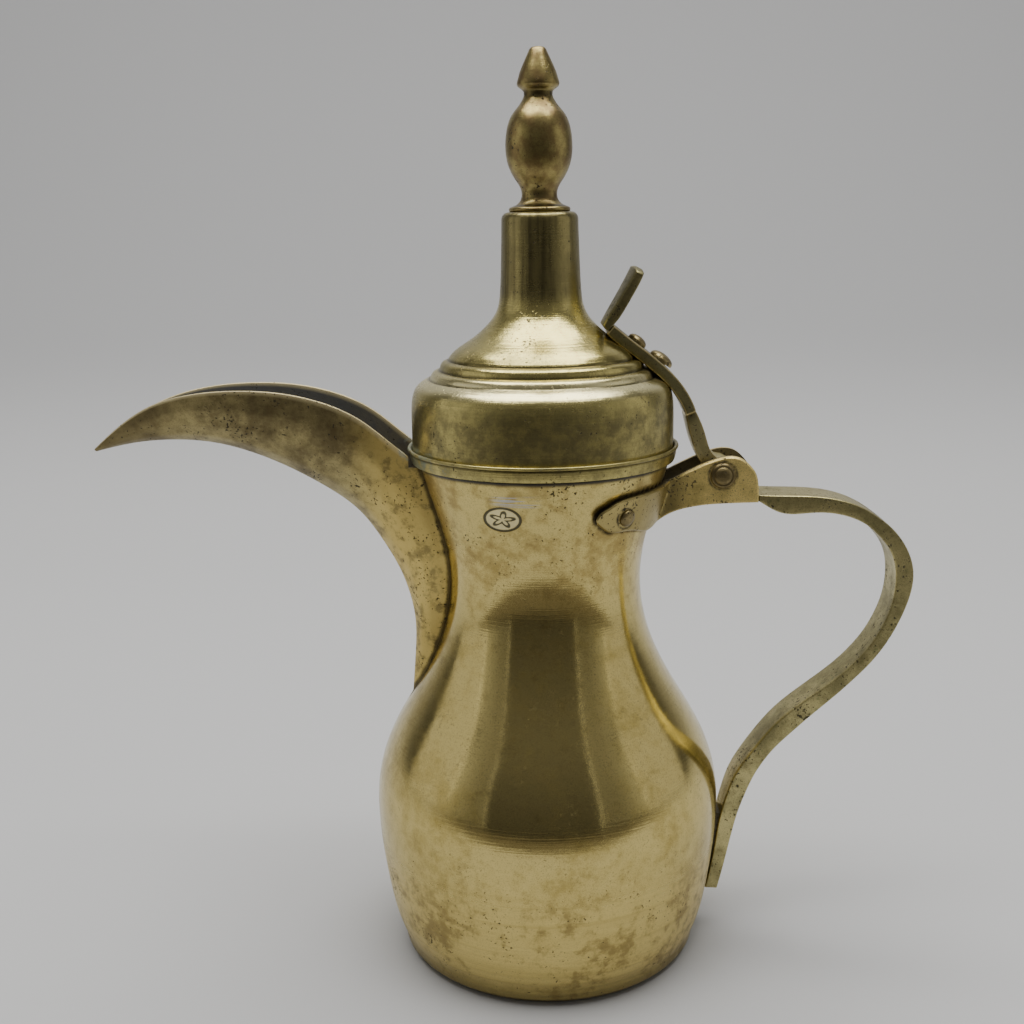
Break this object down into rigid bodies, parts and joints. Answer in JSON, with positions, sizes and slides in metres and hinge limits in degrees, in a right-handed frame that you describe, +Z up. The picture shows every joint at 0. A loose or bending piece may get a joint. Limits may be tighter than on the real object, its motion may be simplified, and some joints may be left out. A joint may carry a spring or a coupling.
{
  "type": "coffee pot",
  "caption": "Brass dallah coffee pot with an open crescent spout, a looped bar handle, a tall hinged lid and a turned finial.",
  "frame": {"origin": "centre of the underside of the base, on the pot's own axis", "axes": "+Z up along the pot's axis, +X from the spout towards the handle, +Y away from the side shown in front"},
  "size_m": [0.2419, 0.105, 0.2667],
  "materials": {
    "body_brass": "polished, worn, fine spin lines and dark specks",
    "spout_brass": "aged, brown-olive",
    "bracket_brass": "aged, pitted",
    "handle_brass": "aged, filed",
    "lid_brass": "aged, spun lines",
    "strap_brass": "aged, olive",
    "finial_brass": "aged, brown patina",
    "fastener_brass": "aged, hammered",
    "solder": "dark soft solder"
  },
  "bodies": {
    "pot": {"body_shell": "body_brass", "base_plate": "body_brass", "spout_front_wall": "spout_brass", "spout_rear_wall": "spout_brass", "bracket_front": "bracket_brass", "bracket_rear": "bracket_brass", "neck_rivets": "fastener_brass", "neck_rivet_washers": "fastener_brass", "hinge_pin": "fastener_brass", "handle": "handle_brass", "handle_solder_pad": "solder"},
    "lid": {"lid_dome": "lid_brass", "lid_rim_band": "lid_brass", "lid_spigot": "lid_brass", "lid_strap": "strap_brass", "thumb_piece": "strap_brass", "hinge_tongue": "strap_brass", "lid_rivets": "fastener_brass", "lid_rivet_washers": "fastener_brass", "finial": "finial_brass", "finial_washer": "fastener_brass", "finial_nut": "fastener_brass"}
  },
  "joints": [
    {"name": "lid_hinge", "type": "hinge", "parent": "pot", "child": "lid", "pos_m": [0.0519, 0, 0.1475], "axis": [0, 1, 0], "range_deg": [0, 124]}
  ]
}
